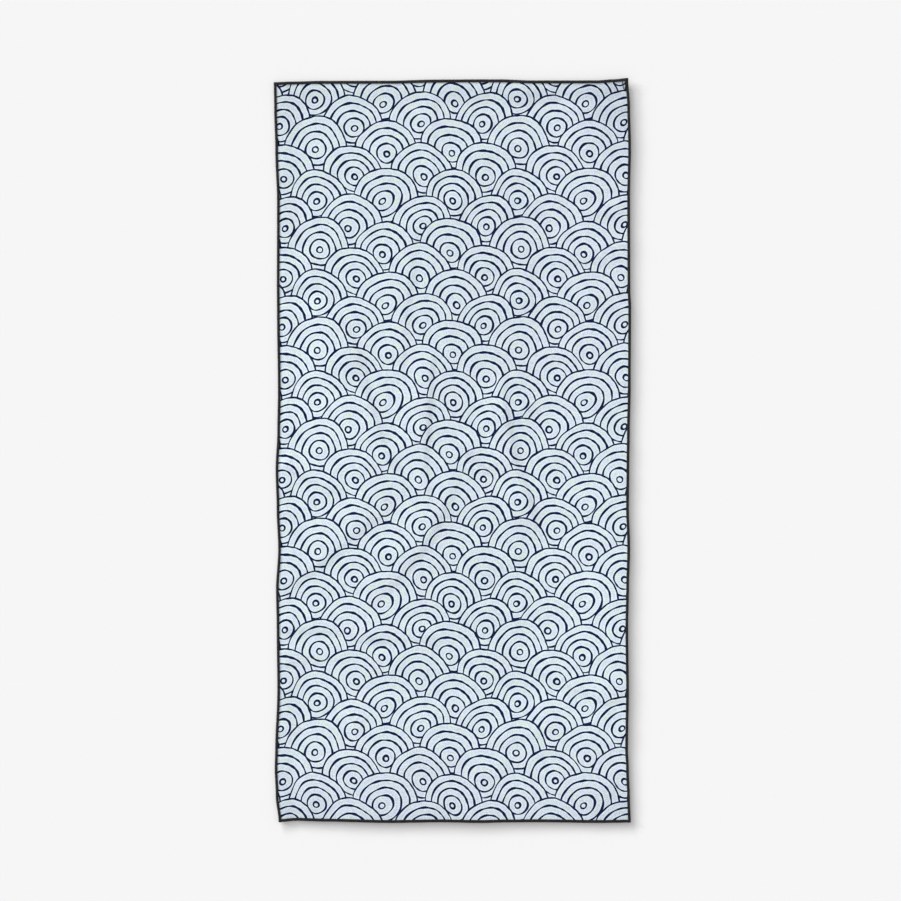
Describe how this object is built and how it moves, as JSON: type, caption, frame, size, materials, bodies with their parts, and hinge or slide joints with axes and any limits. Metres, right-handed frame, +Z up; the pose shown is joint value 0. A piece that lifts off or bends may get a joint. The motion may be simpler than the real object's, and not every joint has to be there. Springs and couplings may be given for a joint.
{
  "type": "bath towel",
  "caption": "Long thin towel lying flat: a printed microfibre panel with soft creases, closed at its rim by a dark overlocked edging that wraps the cloth's edge.",
  "frame": {"origin": "on the surface the towel lies on, under the middle of its outline", "axes": "+Z up through the cloth, +Y along the long sides towards the top edge, +X across towards the right edge"},
  "size_m": [0.8811, 1.8369, 0.0099],
  "materials": {
    "cloth": "matt, smooth microfibre with a navy line print on a pale blue ground",
    "edging": "matt black overlock thread"
  },
  "bodies": {
    "root": {"cloth_panel": "cloth", "edging_top": "edging", "edging_bottom": "edging", "edging_left": "edging", "edging_right": "edging"}
  },
  "joints": []
}
